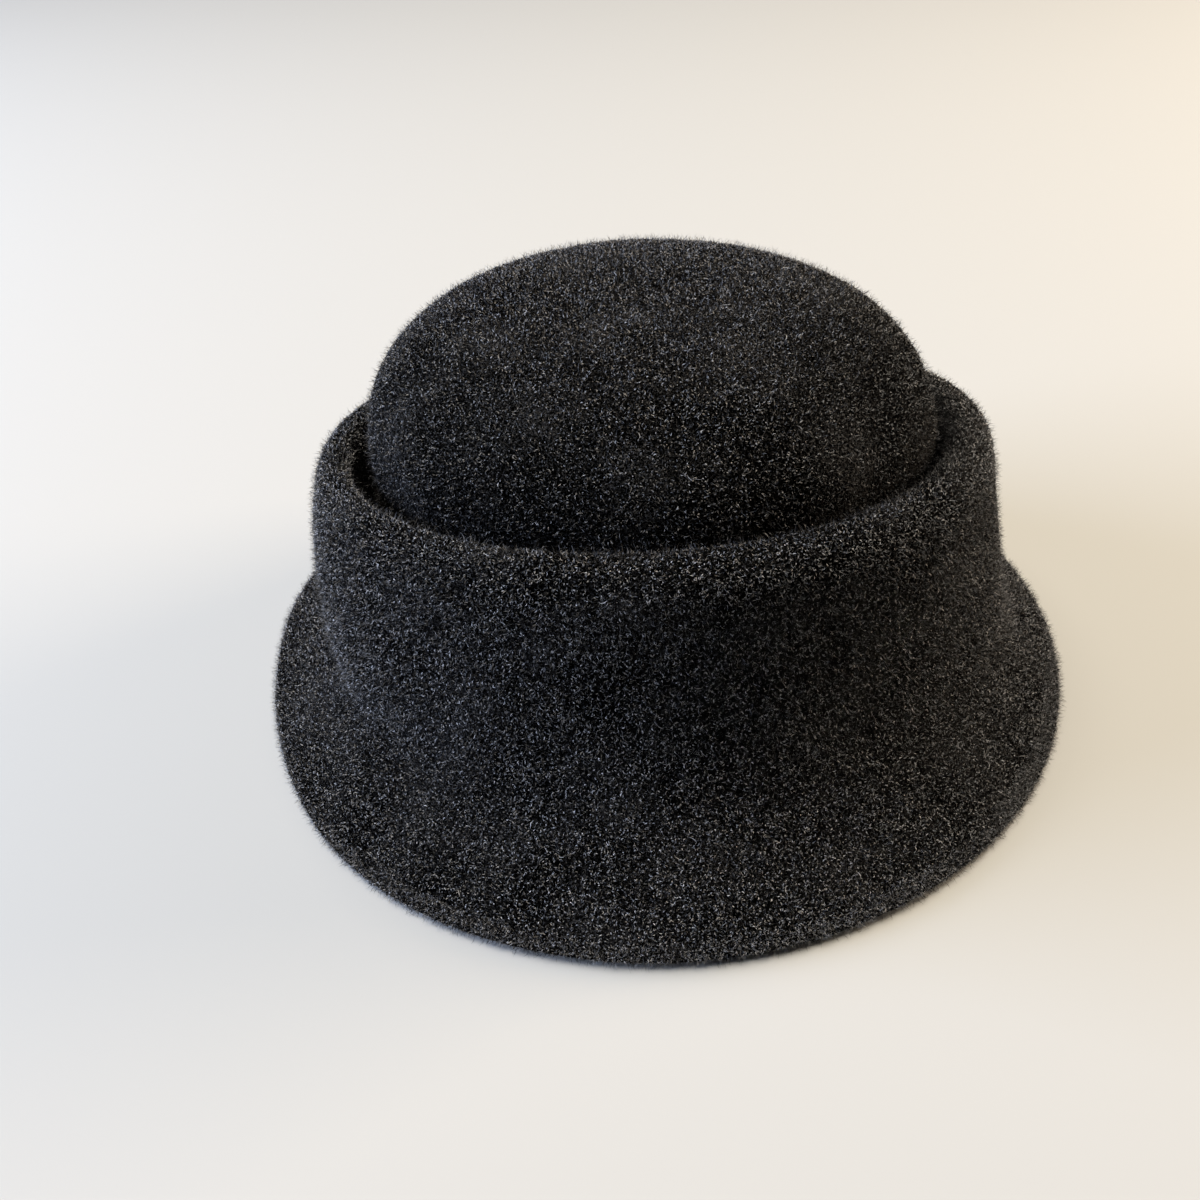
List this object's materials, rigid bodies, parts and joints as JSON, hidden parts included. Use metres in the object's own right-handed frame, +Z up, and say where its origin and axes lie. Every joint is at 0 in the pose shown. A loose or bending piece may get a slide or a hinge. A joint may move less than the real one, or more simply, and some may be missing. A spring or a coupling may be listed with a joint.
{
  "type": "knit bucket hat",
  "caption": "Bucket hat of thick fulled knit in one seamless wall: domed crown in a groove, rolled lip, flared skirt and soft brim, hollow for the head.",
  "frame": {"origin": "on the table under the middle of the brim's outline", "axes": "+Z up through the crown, -Y toward the front of the hat, +X to the right of a viewer in front of it"},
  "size_m": [0.2902, 0.2946, 0.1409],
  "materials": {
    "fulled_knit": "matte charcoal wool knit, fulled, with a short kinked nap"
  },
  "bodies": {
    "root": {"knit_shell": "fulled_knit"}
  },
  "joints": []
}
